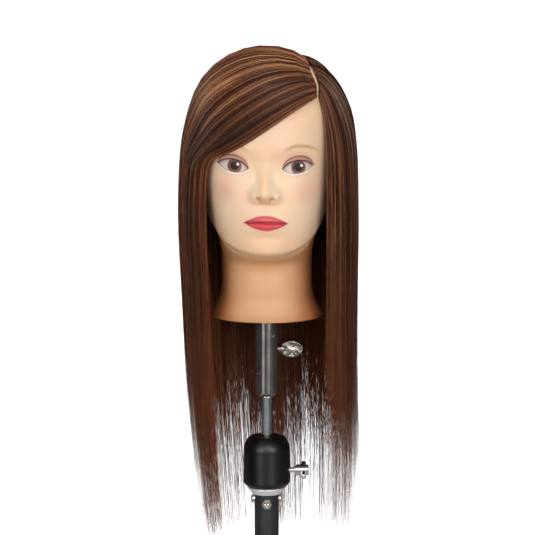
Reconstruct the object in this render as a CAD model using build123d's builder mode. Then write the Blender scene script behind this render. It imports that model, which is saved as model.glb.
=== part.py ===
"""Hairdresser's training head on a ball-jointed holder post.

Millimetres, +Z up, face towards -Y, +X on the viewer's right. The origin is at the open lower
end of the holder post, on its axis. From the bottom up: a tubular post with an insert, a ball
joint in a black housing, a rod that carries the ball, a sleeve that slides on the rod, a spigot
with a swivel bush, and the vinyl head with its foam core, neck socket and long straight hair.
"""

import os
from math import cos, radians, sin, sqrt

from build123d import *

# ---- driving dimensions -------------------------------------------------------------------

RUN = 0.05  # radial clearance of a running fit
GAP = 0.4  # air between pieces that never touch
HAIR_GAP = 1.5  # air between the hair and the skin under it

# post
POST_R = 12.2
POST_WALL = 2.0
POST_SEAT_STEP = 0.3
POST_TOP = 66.0
INSERT_LENGTH = 26.0
FRONT_SCREW_Z = 57.5
SIDE_SCREW_Z = 61.0
POST_SCREW_R = 3.0
POST_SCREW_REACH = 8.0
POST_SCREWS = ((270, FRONT_SCREW_Z), (180, SIDE_SCREW_Z), (0, SIDE_SCREW_Z))
INSERT_CHAMFER = 1.0
FRONT_HEAD_R = 5.2
FRONT_HEAD_HEIGHT = 3.6
CROSS_LENGTH = 5.0
CROSS_WIDTH = 1.0
CROSS_DEPTH = 1.8
SIDE_HEAD_R = 4.2
SIDE_HEAD_HEIGHT = 3.4
SIDE_HEAD_ROUND = 2.0

# base plate under the housing
PLATE_TOP = 73.0
PLATE_R = 18.6
PLATE_LOWER_R = 13.5
PLATE_EDGE = 1.5
PLATE_EDGE_CHAMFER = 1.0
REGISTER_R = 17.4
REGISTER_TOP = 78.0
PLATE_BOLT_R = 4.0
PLATE_BOLT_HEAD_R = 8.0
PLATE_BOLT_KEY_R = 2.9
PLATE_BOLT_KEY_DEPTH = 3.0
PLATE_BOLT_END_GAP = 4.0

# housing and ball joint
BALL_Z = 113.0
BALL_R = 14.5
HOUSING_R = 23.2
HOUSING_TOP = 125.0
HOUSING_RIM_R = 16.6
HOUSING_MOUTH_R = 13.5
HOUSING_BORE_R = 17.6
HOUSING_FOOT_R = 18.8
HOUSING_FOOT_HEIGHT = 4.3
HOUSING_FOOT_ROUND = 1.0
SHOULDER_Z = 109.0
SHOULDER_INSET = 1.5
SHOULDER_RISE = 9.5
LIP_HEIGHT = 8.5
STEP_HEIGHT = 0.6
SOCKET_MID_ANGLE = 20.0
SEAT_BOTTOM = 96.0
SEAT_HOLE_R = 6.0
WEDGE_BOTTOM = 83.2
DISC_SPRING_R = 15.0
DISC_SPRING_HOLE_R = 9.0
DISC_SPRING_THICK = 1.2
DISC_SPRING_RISE = 0.9
DISC_SPRING_AIR = 0.3
PAD_POCKET_X = 12.5

# lock screw through the housing wall
LOCK_Z = 90.0
LOCK_R = 2.5
LOCK_PAD_X = 15.0
LOCK_PAD_TAPER = 1.5
LOCK_TIP_X = 19.6
LOCK_COLLAR_X = 27.7
LOCK_HEAD_X = 29.7
LOCK_HEAD_END = 42.2
LOCK_HEAD_R = 5.5
LOCK_COLLAR_STEP = 1.3
LOCK_HEAD_CHAMFER = 0.8
LOCK_BAR_R = 2.6
LOCK_BAR_LENGTH = 25.0
LOCK_BAR_X = 37.0
LOCK_BAR_DROP = 25.0
LOCK_BAR_CHAMFER = 0.6
LOCK_BAR_HOLE_DEPTH = 2.0

# rod
ROD_R = 5.0
ROD_FOOT = 115.5
ROD_TOP = 217.0
ROD_CHAMFER = 0.8
PIN_R = 1.1
PIN_Z = 189.5
PIN_HEADING = 225.0
PIN_START = 1.0
PIN_INSET = 0.3
PIN_CHAMFER = 0.25
HEIGHT_TRAVEL = 14.0

# sleeve on the rod
SLEEVE_R = 11.35
SLEEVE_BOTTOM = 166.0
SLEEVE_TOP = 243.5
SLEEVE_SEAT_R = 8.0
SLEEVE_SEAT_Z = 222.0
SLEEVE_CHAMFER = 3.0
SLEEVE_ROUND = 0.6
SLOT_WIDTH = 2.4
SLOT_END_GAP = 0.15
BUSH_R = 7.0
BUSH_BOTTOM = 164.8
BUSH_TOP = 176.0
BUSH_HOLE_R = 0.45
BUSH_HOLE_INSET = 0.95
GRUB_Z = 228.0
GRUB_R = 1.5
GRUB_HEADING = 306.0
GRUB_INSET = 0.4
GRUB_KEY_R = 0.8
GRUB_KEY_DEPTH = 1.4

# wing screw through the sleeve wall
WING_Z = 213.5
WING_R = 3.0
WING_PAD_END = 8.4
WING_START = 12.6
WING_END = 37.0
WING_HALF_HEIGHT = 8.6
WING_THICK = 4.4
WING_ROUND = 1.6
WING_HUB_X = 12.2
WING_HUB_R = 4.6
WING_HUB_LENGTH = 4.5
WING_OVERLAP = 5.0

# spigot and swivel bush
SPIGOT_R = 7.95
SPIGOT_TOP = 300.0
SPIGOT_BORE_R = 5.6
SPIGOT_BORE_TOP = 284.0
SWIVEL_R = 10.5
SWIVEL_FLANGE_R = 17.0
SWIVEL_FLANGE_TOP = 248.6
SWIVEL_GAP = 0.3
SWIVEL_FLANGE_CHAMFER = 1.2
SWIVEL_LEAD = 1.4
BUSH_SCREW_R = 2.5
BUSH_SCREW_LENGTH = 9.0
BUSH_SCREW_END_GAP = 1.0
BUSH_SCREW_HEAD_R = 9.55
BUSH_SCREW_HEAD_HEIGHT = 3.0
BUSH_SCREW_HEAD_ROUND = 1.0
BUSH_SCREW_KEY_R = 2.2
BUSH_SCREW_KEY_DEPTH = 1.6

# neck base and socket
SOCKET_BOTTOM = 249.0
SOCKET_FLANGE_R = 23.0
SOCKET_FLANGE_THICK = 3.0
SOCKET_R = 13.7
SOCKET_CLEARANCE = 0.1
SOCKET_TOP = 312.0
SOCKET_ROOF = 3.0
DISC_THICK = 4.0
DISC_R = 47.4
DISC_CENTRE_Y = 2.0
DISC_SCREWS = 3
DISC_SCREW_R = 1.75
DISC_SCREW_HEAD_R = 3.3
DISC_SCREW_HEAD_HEIGHT = 1.6
DISC_SCREW_PITCH_R = 18.5
DISC_SCREW_START = -30.0

# Each level section of the head and of the hair is an ellipse: its height, its centre in x and
# in y, its half width and its half depth.

# head
SKIN = 3.0
CORE_GAP = 0.3
HEAD_SECTIONS = [
    (248.5, 0, 2, 55.0, 54.0),
    (256.0, 0, 2, 51.0, 51.0),
    (268.0, 0, 2, 46.5, 48.5),
    (290.0, 0, 1, 45.0, 48.0),
    (308.0, 0, -1, 45.0, 50.0),
    (319.0, 0, -9, 45.5, 60.0),
    (331.0, 0, -12, 48.5, 66.0),
    (340.0, 0, -12, 52.0, 69.5),
    (350.0, 0, -11, 56.0, 72.5),
    (375.0, 0, -6, 64.0, 80.0),
    (405.0, 0, -1, 70.0, 87.0),
    (435.0, 0, 2, 72.5, 91.0),
    (465.0, 0, 5, 69.0, 86.0),
    (490.0, 0, 8, 54.0, 67.0),
    (503.0, 0, 9, 33.0, 41.0),
    (509.0, 0, 9, 10.0, 12.0),
]
# nose
NOSE_SECTIONS = [
    (377.0, 0, -84, 11.0, 14.0),
    (384.0, 0, -88, 13.0, 15.5),
    (394.0, 0, -86, 8.5, 14.0),
    (412.0, 0, -80, 5.0, 9.0),
]

# outside of the hair
HAIR_SECTIONS = [
    (24.0, 12.0, 10, 74.0, 70),
    (66.0, 12.0, 12, 81.5, 78),
    (95.0, 10.5, 14, 86.5, 82),
    (172.0, 4.5, 14, 87.5, 84),
    (263.0, 3.5, 14, 89.5, 84),
    (324.0, 1.5, 10, 91.5, 88),
    (370.0, 1.5, 6, 91.5, 95),
    (400.0, 2.0, 4, 91.0, 99),
    (430.0, 2.5, 4, 87.5, 98.5),
    (460.5, 3.0, 5, 81.0, 94),
    (476.0, 3.0, 6, 75.0, 90),
    (491.0, 3.0, 7, 65.0, 81),
    (506.0, 4.0, 7.5, 49.5, 64),
    (515.5, 4.5, 8, 31.0, 41),
    (520.0, 5.0, 8, 6.0, 8),
]
# hollow inside the curtains, below the point where the hair lies on the skin
HOLLOW_SECTIONS = [
    (20.0, 10.0, 10, 60.0, 57),
    (66.0, 10.0, 11, 67.0, 64),
    (95.0, 8.0, 13, 71.0, 68),
    (172.0, 4.0, 13, 73.0, 70),
    (263.0, 3.0, 13, 75.0, 70),
    (324.0, 1.5, 4, 74.0, 74),
    (350.0, 0.5, -7, 68.0, 79),
    (362.0, 0.0, -8, 65.5, 81),
]
HAIR_MEETS_SKIN = 370.0
# outline of the face, seen from the front, that the hair leaves open
FACE_WINDOW = [
    (-58, 0),
    (-58, 414),
    (-39, 426),
    (-12, 440),
    (19, 461),
    (48, 484),
    (60, 455),
    (62, 430),
    (61, 400),
    (58, 353),
    (60, 0),
]
FACE_WINDOW_BACK = -6.0
PARTING_X = 46.0
FRINGE_BACK = -45.0
FRINGE_FOOT = 405.0
CROWN_FOOT = 450.0
CURTAIN_BACK = 32.0
BACK_PARTING_X = 4.0

FAR = 200.0  # beyond the whole object, for cuts
THROUGH = 50.0  # longer than any wall that a hole passes

# ---- values that follow -------------------------------------------------------------------

POST_BORE_R = POST_R - POST_WALL
POST_SEAT_R = POST_BORE_R + POST_SEAT_STEP
INSERT_BOTTOM = POST_TOP - INSERT_LENGTH
SOCKET_SPHERE_R = BALL_R + 2 * RUN
SEAT_SPHERE_R = BALL_R + RUN
ROD_BORE_R = ROD_R + RUN
DISC_BOTTOM = SOCKET_BOTTOM + SOCKET_FLANGE_THICK
DISC_TOP = DISC_BOTTOM + DISC_THICK


LIP_R = sqrt(SOCKET_SPHERE_R**2 - LIP_HEIGHT**2)
STEP_R = sqrt(SOCKET_SPHERE_R**2 - STEP_HEIGHT**2)
MID_R = SOCKET_SPHERE_R * cos(radians(SOCKET_MID_ANGLE))
MID_HEIGHT = SOCKET_SPHERE_R * sin(radians(SOCKET_MID_ANGLE))
SLOT_LOW = PIN_Z - PIN_R - SLOT_END_GAP
SLOT_HIGH = PIN_Z + PIN_R + SLOT_END_GAP + HEIGHT_TRAVEL
SLOT_MID = (SLOT_LOW + SLOT_HIGH) / 2
WING_PAD_START = ROD_R + GAP / 2
WING_MIDDLE_X = (WING_START + WING_END) / 2

LOCK_BAR_PLANE = Plane(
    origin=(LOCK_BAR_X, 0, LOCK_Z),
    z_dir=(0, -cos(radians(LOCK_BAR_DROP)), -sin(radians(LOCK_BAR_DROP))),
)


def save(piece, name):
    """Label a finished piece and write it as one STEP file."""
    piece.part.label = name
    export_step(piece.part, f"parts/{name}.step")


def outward(heading, z, distance=0.0):
    """Plane at a height whose normal points away from the axis, at a heading from +X."""
    direction = (cos(radians(heading)), sin(radians(heading)), 0)
    origin = (direction[0] * distance, direction[1] * distance, z)
    return Plane(origin=origin, z_dir=direction)


def level_faces(sections, grow=0.0):
    """Faces of the level ellipses that a loft runs through, each grown by the same amount."""
    faces = []
    for z, centre_x, centre_y, half_width, half_depth in sections:
        with BuildSketch(Plane.XY.offset(z)) as level:
            with Locations((centre_x, centre_y)):
                Ellipse(half_width + grow, half_depth + grow)
        faces.append(level.sketch.faces()[0])
    return faces


def region(low, high, mode):
    """Box between two corners, used to keep or to cut."""
    centre = tuple((a + b) / 2 for a, b in zip(low, high))
    size = [b - a for a, b in zip(low, high)]
    with Locations(centre):
        Box(*size, mode=mode)


os.makedirs("parts", exist_ok=True)

# ---- post: tube, insert, base plate and their screws --------------------------------------

with BuildPart() as post_tube:
    with BuildSketch():
        Circle(POST_R)
        Circle(POST_BORE_R, mode=Mode.SUBTRACT)
    extrude(amount=POST_TOP)
    with BuildSketch(Plane.XY.offset(INSERT_BOTTOM)):
        Circle(POST_SEAT_R)
    extrude(amount=INSERT_LENGTH, mode=Mode.SUBTRACT)
    for heading, screw_z in POST_SCREWS:
        with BuildSketch(outward(heading, screw_z)):
            Circle(POST_SCREW_R)
        extrude(amount=THROUGH, mode=Mode.SUBTRACT)
save(post_tube, "post_tube")

with BuildPart() as post_insert:
    with BuildSketch(Plane.XY.offset(INSERT_BOTTOM)):
        Circle(POST_SEAT_R)
    extrude(amount=INSERT_LENGTH)
    chamfer(post_insert.faces().sort_by(Axis.Z)[0].edges(), INSERT_CHAMFER)
    with Locations((0, 0, POST_TOP)):
        Hole(PLATE_BOLT_R)
    for heading, screw_z in POST_SCREWS:
        with BuildSketch(outward(heading, screw_z, POST_R - POST_SCREW_REACH)):
            Circle(POST_SCREW_R)
        extrude(amount=POST_SCREW_REACH, mode=Mode.SUBTRACT)
save(post_insert, "post_insert")

with BuildPart() as base_plate:
    with BuildSketch(Plane.XZ):
        with BuildLine():
            Polyline(
                (0, POST_TOP),
                (PLATE_LOWER_R, POST_TOP),
                (PLATE_R - PLATE_EDGE_CHAMFER, PLATE_TOP - PLATE_EDGE - PLATE_EDGE_CHAMFER),
                (PLATE_R, PLATE_TOP - PLATE_EDGE),
                (PLATE_R, PLATE_TOP),
                (REGISTER_R, PLATE_TOP),
                (REGISTER_R, REGISTER_TOP),
                (0, REGISTER_TOP),
                close=True,
            )
        make_face()
    revolve(axis=Axis.Z)
    with Locations((0, 0, REGISTER_TOP)):
        CounterSinkHole(PLATE_BOLT_R, PLATE_BOLT_HEAD_R, counter_sink_angle=90)
save(base_plate, "base_plate")

with BuildPart() as plate_bolt:
    head_depth = PLATE_BOLT_HEAD_R - PLATE_BOLT_R
    with BuildSketch(Plane.XZ):
        with BuildLine():
            Polyline(
                (0, INSERT_BOTTOM + PLATE_BOLT_END_GAP),
                (PLATE_BOLT_R, INSERT_BOTTOM + PLATE_BOLT_END_GAP),
                (PLATE_BOLT_R, REGISTER_TOP - head_depth),
                (PLATE_BOLT_HEAD_R, REGISTER_TOP),
                (0, REGISTER_TOP),
                close=True,
            )
        make_face()
    revolve(axis=Axis.Z)
    with BuildSketch(Plane.XY.offset(REGISTER_TOP)):
        RegularPolygon(PLATE_BOLT_KEY_R, 6)
    extrude(amount=-PLATE_BOLT_KEY_DEPTH, mode=Mode.SUBTRACT)
save(plate_bolt, "plate_bolt")

with BuildPart() as front_screw:
    with BuildSketch(outward(270, FRONT_SCREW_Z, POST_R - POST_SCREW_REACH + 1)):
        Circle(POST_SCREW_R)
    extrude(amount=POST_SCREW_REACH - 1)
    with BuildSketch(outward(270, FRONT_SCREW_Z, POST_R)):
        RegularPolygon(FRONT_HEAD_R, 6)
    extrude(amount=FRONT_HEAD_HEIGHT)
    with BuildSketch(outward(270, FRONT_SCREW_Z, POST_R + FRONT_HEAD_HEIGHT)):
        Rectangle(CROSS_LENGTH, CROSS_WIDTH)
        Rectangle(CROSS_WIDTH, CROSS_LENGTH)
    extrude(amount=-CROSS_DEPTH, mode=Mode.SUBTRACT)
save(front_screw, "front_screw")

with BuildPart() as side_screws:
    for heading in (0, 180):
        with BuildSketch(outward(heading, SIDE_SCREW_Z, POST_R - POST_SCREW_REACH + 1)):
            Circle(POST_SCREW_R)
        extrude(amount=POST_SCREW_REACH - 1)
        with BuildSketch(outward(heading, SIDE_SCREW_Z, POST_R)):
            Circle(SIDE_HEAD_R)
        extrude(amount=SIDE_HEAD_HEIGHT)
    fillet(side_screws.faces().group_by(Axis.X)[0].edges(), SIDE_HEAD_ROUND)
    fillet(side_screws.faces().group_by(Axis.X)[-1].edges(), SIDE_HEAD_ROUND)
save(side_screws, "side_screws")

# ---- ball joint ---------------------------------------------------------------------------

with BuildPart() as housing:
    with BuildSketch(Plane.XZ):
        with BuildLine():
            Polyline(
                (HOUSING_BORE_R, BALL_Z + STEP_HEIGHT),
                (HOUSING_BORE_R, PLATE_TOP),
                (HOUSING_FOOT_R, PLATE_TOP),
                (HOUSING_R - HOUSING_FOOT_ROUND, PLATE_TOP + HOUSING_FOOT_HEIGHT - HOUSING_FOOT_ROUND),
                (HOUSING_R, PLATE_TOP + HOUSING_FOOT_HEIGHT + HOUSING_FOOT_ROUND),
                (HOUSING_R, SHOULDER_Z),
            )
            ThreePointArc(
                (HOUSING_R, SHOULDER_Z),
                (HOUSING_R - SHOULDER_INSET, SHOULDER_Z + SHOULDER_RISE),
                (HOUSING_RIM_R, HOUSING_TOP),
            )
            Polyline(
                (HOUSING_RIM_R, HOUSING_TOP),
                (HOUSING_MOUTH_R, HOUSING_TOP),
                (LIP_R, BALL_Z + LIP_HEIGHT),
            )
            ThreePointArc(
                (LIP_R, BALL_Z + LIP_HEIGHT),
                (MID_R, BALL_Z + MID_HEIGHT),
                (STEP_R, BALL_Z + STEP_HEIGHT),
            )
            Line((STEP_R, BALL_Z + STEP_HEIGHT), (HOUSING_BORE_R, BALL_Z + STEP_HEIGHT))
        make_face()
    revolve(axis=Axis.Z)
    with BuildSketch(outward(0, LOCK_Z)):
        Circle(LOCK_R + RUN)
    extrude(amount=THROUGH, mode=Mode.SUBTRACT)
save(housing, "housing")

with BuildPart() as ball_seat:
    with BuildSketch(Plane.XY.offset(SEAT_BOTTOM)):
        Circle(HOUSING_BORE_R - RUN)
        Circle(SEAT_HOLE_R, mode=Mode.SUBTRACT)
    extrude(amount=BALL_Z - SEAT_BOTTOM)
    with Locations((0, 0, BALL_Z)):
        Sphere(SEAT_SPHERE_R, mode=Mode.SUBTRACT)
save(ball_seat, "ball_seat")

with BuildPart() as wedge_block:
    with BuildSketch(Plane.XY.offset(WEDGE_BOTTOM)):
        Circle(HOUSING_BORE_R - 2 * RUN)
        Circle(SEAT_HOLE_R, mode=Mode.SUBTRACT)
    extrude(amount=SEAT_BOTTOM - GAP - WEDGE_BOTTOM)
    with BuildSketch(outward(0, LOCK_Z, PAD_POCKET_X)):
        Circle(LOCK_R + GAP)
    extrude(amount=THROUGH, mode=Mode.SUBTRACT)
save(wedge_block, "wedge_block")

with BuildPart() as disc_springs:
    lower_foot = REGISTER_TOP + DISC_SPRING_AIR
    upper_foot = WEDGE_BOTTOM - DISC_SPRING_AIR - DISC_SPRING_THICK
    for foot, rise in ((lower_foot, 1), (upper_foot, -1)):
        with BuildSketch(Plane.XZ):
            with BuildLine():
                Polyline(
                    (DISC_SPRING_R, foot),
                    (DISC_SPRING_R, foot + DISC_SPRING_THICK),
                    (DISC_SPRING_HOLE_R, foot + DISC_SPRING_THICK + rise * DISC_SPRING_RISE),
                    (DISC_SPRING_HOLE_R, foot + rise * DISC_SPRING_RISE),
                    close=True,
                )
            make_face()
        revolve(axis=Axis.Z)
save(disc_springs, "disc_springs")

with BuildPart() as lock_pad:
    with BuildSketch(outward(0, LOCK_Z, LOCK_PAD_X)):
        Circle(LOCK_R)
    extrude(amount=LOCK_TIP_X - LOCK_PAD_X)
    chamfer(lock_pad.faces().sort_by(Axis.X)[0].edges(), LOCK_PAD_TAPER)
save(lock_pad, "lock_pad")

with BuildPart() as lock_screw:
    with BuildSketch(outward(0, LOCK_Z, LOCK_TIP_X + RUN)):
        Circle(LOCK_R)
    extrude(amount=LOCK_HEAD_X - LOCK_TIP_X)
    with BuildSketch(outward(0, LOCK_Z, LOCK_COLLAR_X)):
        Circle(LOCK_HEAD_R - LOCK_COLLAR_STEP)
    extrude(amount=LOCK_HEAD_X - LOCK_COLLAR_X)
    with BuildSketch(outward(0, LOCK_Z, LOCK_HEAD_X)):
        Circle(LOCK_HEAD_R)
    extrude(amount=LOCK_HEAD_END - LOCK_HEAD_X)
    chamfer(lock_screw.faces().sort_by(Axis.X)[-1].edges(), LOCK_HEAD_CHAMFER)
    with BuildSketch(LOCK_BAR_PLANE):
        Circle(LOCK_BAR_R)
    extrude(amount=LOCK_HEAD_R * 2, both=True, mode=Mode.SUBTRACT)
save(lock_screw, "lock_screw")

with BuildPart() as lock_bar:
    with BuildSketch(LOCK_BAR_PLANE):
        Circle(LOCK_BAR_R)
    extrude(amount=LOCK_BAR_LENGTH / 2, both=True)
    chamfer(lock_bar.edges().filter_by(GeomType.CIRCLE), LOCK_BAR_CHAMFER)
    with BuildSketch(LOCK_BAR_PLANE.offset(LOCK_BAR_LENGTH / 2)):
        Circle(LOCK_BAR_R / 3)
    extrude(amount=-LOCK_BAR_HOLE_DEPTH, mode=Mode.SUBTRACT)
save(lock_bar, "lock_bar")

# ---- ball, rod and guide pin --------------------------------------------------------------

with BuildPart() as ball:
    with Locations((0, 0, BALL_Z)):
        Sphere(BALL_R)
    with BuildSketch(Plane.XY.offset(ROD_FOOT)):
        Circle(ROD_R)
    extrude(amount=BALL_R, mode=Mode.SUBTRACT)
save(ball, "ball")

with BuildPart() as rod:
    with BuildSketch(Plane.XY.offset(ROD_FOOT)):
        Circle(ROD_R)
    extrude(amount=ROD_TOP - ROD_FOOT)
    chamfer(rod.edges().sort_by(Axis.Z)[-1], ROD_CHAMFER)
    with BuildSketch(outward(PIN_HEADING, PIN_Z, PIN_START)):
        Circle(PIN_R)
    extrude(amount=SLEEVE_R, mode=Mode.SUBTRACT)
save(rod, "rod")

with BuildPart() as guide_pin:
    with BuildSketch(outward(PIN_HEADING, PIN_Z, PIN_START)):
        Circle(PIN_R)
    extrude(amount=SLEEVE_R - PIN_INSET - PIN_START)
    chamfer(guide_pin.edges().filter_by(GeomType.CIRCLE), PIN_CHAMFER)
save(guide_pin, "guide_pin")

# ---- sleeve, its bush, spigot and screws ---------------------------------------------------

with BuildPart() as sleeve:
    with BuildSketch(Plane.XY.offset(SLEEVE_BOTTOM)):
        Circle(SLEEVE_R)
        Circle(ROD_BORE_R, mode=Mode.SUBTRACT)
    extrude(amount=SLEEVE_TOP - SLEEVE_BOTTOM)
    with BuildSketch(Plane.XY.offset(SLEEVE_BOTTOM)):
        Circle(BUSH_R)
    extrude(amount=BUSH_TOP - SLEEVE_BOTTOM, mode=Mode.SUBTRACT)
    with BuildSketch(Plane.XY.offset(SLEEVE_SEAT_Z)):
        Circle(SLEEVE_SEAT_R)
    extrude(amount=SLEEVE_TOP - SLEEVE_SEAT_Z, mode=Mode.SUBTRACT)
    outer_edges = sleeve.edges().filter_by(GeomType.CIRCLE).group_by(SortBy.RADIUS)[-1]
    chamfer(outer_edges.sort_by(Axis.Z)[0], SLEEVE_CHAMFER)
    fillet(outer_edges.sort_by(Axis.Z)[-1], SLEEVE_ROUND)
    with BuildSketch(outward(PIN_HEADING, SLOT_MID)):
        SlotOverall(SLOT_HIGH - SLOT_LOW, SLOT_WIDTH, rotation=90)
    extrude(amount=THROUGH, mode=Mode.SUBTRACT)
    with BuildSketch(outward(0, WING_Z)):
        Circle(WING_R + RUN)
    extrude(amount=THROUGH, mode=Mode.SUBTRACT)
    with BuildSketch(outward(GRUB_HEADING, GRUB_Z)):
        Circle(GRUB_R)
    extrude(amount=THROUGH, mode=Mode.SUBTRACT)
save(sleeve, "sleeve")

with BuildPart() as sleeve_bush:
    with BuildSketch(Plane.XY.offset(BUSH_BOTTOM)):
        Circle(BUSH_R)
        Circle(ROD_BORE_R, mode=Mode.SUBTRACT)
        with PolarLocations(BUSH_R - BUSH_HOLE_INSET, 2, -110, 40, endpoint=True):
            Circle(BUSH_HOLE_R, mode=Mode.SUBTRACT)
    extrude(amount=BUSH_TOP - BUSH_BOTTOM)
save(sleeve_bush, "sleeve_bush")

with BuildPart() as spigot:
    with BuildSketch(Plane.XY.offset(SLEEVE_SEAT_Z)):
        Circle(SPIGOT_R)
    extrude(amount=SPIGOT_TOP - SLEEVE_SEAT_Z)
    with BuildSketch(Plane.XY.offset(SLEEVE_SEAT_Z)):
        Circle(SPIGOT_BORE_R)
    extrude(amount=SPIGOT_BORE_TOP - SLEEVE_SEAT_Z, mode=Mode.SUBTRACT)
    with BuildSketch(Plane.XY.offset(SPIGOT_TOP)):
        Circle(BUSH_SCREW_R)
    extrude(amount=-BUSH_SCREW_LENGTH - BUSH_SCREW_END_GAP, mode=Mode.SUBTRACT)
save(spigot, "spigot")

with BuildPart() as spigot_screw:
    with BuildSketch(outward(GRUB_HEADING, GRUB_Z, SPIGOT_R)):
        Circle(GRUB_R)
    extrude(amount=SLEEVE_R - SPIGOT_R - GRUB_INSET)
    with BuildSketch(outward(GRUB_HEADING, GRUB_Z, SLEEVE_R - GRUB_INSET)):
        RegularPolygon(GRUB_KEY_R, 6)
    extrude(amount=-GRUB_KEY_DEPTH, mode=Mode.SUBTRACT)
save(spigot_screw, "spigot_screw")

with BuildPart() as bush_screw:
    with BuildSketch(Plane.XY.offset(SPIGOT_TOP - BUSH_SCREW_LENGTH)):
        Circle(BUSH_SCREW_R)
    extrude(amount=BUSH_SCREW_LENGTH)
    with BuildSketch(Plane.XY.offset(SPIGOT_TOP)):
        Circle(BUSH_SCREW_HEAD_R)
    extrude(amount=BUSH_SCREW_HEAD_HEIGHT)
    fillet(bush_screw.faces().sort_by(Axis.Z)[-1].edges(), BUSH_SCREW_HEAD_ROUND)
    with BuildSketch(Plane.XY.offset(SPIGOT_TOP + BUSH_SCREW_HEAD_HEIGHT)):
        RegularPolygon(BUSH_SCREW_KEY_R, 6)
    extrude(amount=-BUSH_SCREW_KEY_DEPTH, mode=Mode.SUBTRACT)
save(bush_screw, "bush_screw")

with BuildPart() as wing_pad:
    with BuildSketch(outward(0, WING_Z, WING_PAD_START)):
        Circle(WING_R)
    extrude(amount=WING_PAD_END - WING_PAD_START)
save(wing_pad, "wing_pad")

with BuildPart() as wing_screw:
    with BuildSketch(outward(0, WING_Z, WING_PAD_END + RUN)):
        Circle(WING_R)
    extrude(amount=WING_START + WING_OVERLAP - WING_PAD_END)
    with BuildSketch(outward(0, WING_Z, WING_HUB_X)):
        Circle(WING_HUB_R)
    extrude(amount=WING_HUB_LENGTH)
    with BuildPart(mode=Mode.PRIVATE) as wing:
        with BuildSketch(Plane.XZ.offset(-WING_THICK / 2)):
            with Locations((WING_MIDDLE_X, WING_Z)):
                Ellipse((WING_END - WING_START) / 2, WING_HALF_HEIGHT)
        extrude(amount=WING_THICK)
        fillet(wing.edges(), WING_ROUND)
    add(wing.part)
save(wing_screw, "wing_screw")

with BuildPart() as swivel_bush:
    with BuildSketch(Plane.XZ):
        with BuildLine():
            Polyline(
                (SPIGOT_R + RUN, SLEEVE_TOP + SWIVEL_GAP),
                (SWIVEL_FLANGE_R - SWIVEL_FLANGE_CHAMFER, SLEEVE_TOP + SWIVEL_GAP),
                (SWIVEL_FLANGE_R, SLEEVE_TOP + SWIVEL_GAP + SWIVEL_FLANGE_CHAMFER),
                (SWIVEL_FLANGE_R, SWIVEL_FLANGE_TOP),
                (SWIVEL_R, SWIVEL_FLANGE_TOP),
                (SWIVEL_R, SPIGOT_TOP - SWIVEL_GAP - SWIVEL_LEAD),
                (SWIVEL_R - SWIVEL_LEAD, SPIGOT_TOP - SWIVEL_GAP),
                (SPIGOT_R + RUN, SPIGOT_TOP - SWIVEL_GAP),
                close=True,
            )
        make_face()
    revolve(axis=Axis.Z)
save(swivel_bush, "swivel_bush")

# ---- neck socket and closing disc ----------------------------------------------------------

with BuildPart() as disc_screws:
    with Locations((0, 0, SOCKET_BOTTOM)):
        with PolarLocations(DISC_SCREW_PITCH_R, DISC_SCREWS, DISC_SCREW_START):
            Cone(
                DISC_SCREW_HEAD_R,
                DISC_SCREW_R,
                DISC_SCREW_HEAD_HEIGHT,
                align=(Align.CENTER, Align.CENTER, Align.MIN),
            )
            Cylinder(
                DISC_SCREW_R,
                SOCKET_FLANGE_THICK + DISC_THICK,
                align=(Align.CENTER, Align.CENTER, Align.MIN),
            )
save(disc_screws, "disc_screws")

with BuildPart() as neck_socket:
    with BuildSketch(Plane.XY.offset(SOCKET_BOTTOM)):
        Circle(SOCKET_FLANGE_R)
    extrude(amount=SOCKET_FLANGE_THICK)
    with BuildSketch(Plane.XY.offset(SOCKET_BOTTOM)):
        Circle(SOCKET_R)
    extrude(amount=SOCKET_TOP - SOCKET_BOTTOM)
    with BuildSketch(Plane.XY.offset(SOCKET_BOTTOM)):
        Circle(SWIVEL_R + SOCKET_CLEARANCE)
    extrude(amount=SOCKET_TOP - SOCKET_ROOF - SOCKET_BOTTOM, mode=Mode.SUBTRACT)
    add(disc_screws.part, mode=Mode.SUBTRACT)
save(neck_socket, "neck_socket")

with BuildPart() as neck_disc:
    with BuildSketch(Plane.XY.offset(DISC_BOTTOM)):
        with Locations((0, DISC_CENTRE_Y)):
            Circle(DISC_R)
        Circle(SOCKET_R, mode=Mode.SUBTRACT)
    extrude(amount=DISC_THICK)
    add(disc_screws.part, mode=Mode.SUBTRACT)
save(neck_disc, "neck_disc")

# ---- vinyl head and foam core --------------------------------------------------------------

with BuildPart() as vinyl_skin:
    loft(sections=level_faces(HEAD_SECTIONS))
    loft(sections=level_faces(NOSE_SECTIONS))
    loft(sections=level_faces(HEAD_SECTIONS[:-1], -SKIN), mode=Mode.SUBTRACT)
save(vinyl_skin, "vinyl_skin")

with BuildPart() as foam_core:
    loft(sections=level_faces(HEAD_SECTIONS[:-1], -SKIN - CORE_GAP))
    with BuildSketch(Plane.XY):
        Circle(FAR)
    extrude(amount=DISC_TOP + CORE_GAP, mode=Mode.SUBTRACT)
    with BuildSketch(Plane.XY.offset(DISC_TOP)):
        Circle(SOCKET_R + CORE_GAP)
    extrude(amount=SOCKET_TOP + CORE_GAP - DISC_TOP, mode=Mode.SUBTRACT)
save(foam_core, "foam_core")

# ---- hair ----------------------------------------------------------------------------------

with BuildPart() as hair_mass:
    loft(sections=level_faces(HAIR_SECTIONS))
    over_skull = [section for section in HEAD_SECTIONS if section[0] > HAIR_MEETS_SKIN]
    hollow = level_faces(HOLLOW_SECTIONS) + level_faces(over_skull, HAIR_GAP)
    loft(sections=hollow, mode=Mode.SUBTRACT)
    with BuildSketch(Plane.XZ.offset(-FACE_WINDOW_BACK)):
        with BuildLine():
            Polyline(*FACE_WINDOW, close=True)
        make_face()
    extrude(amount=FAR, mode=Mode.SUBTRACT)

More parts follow.
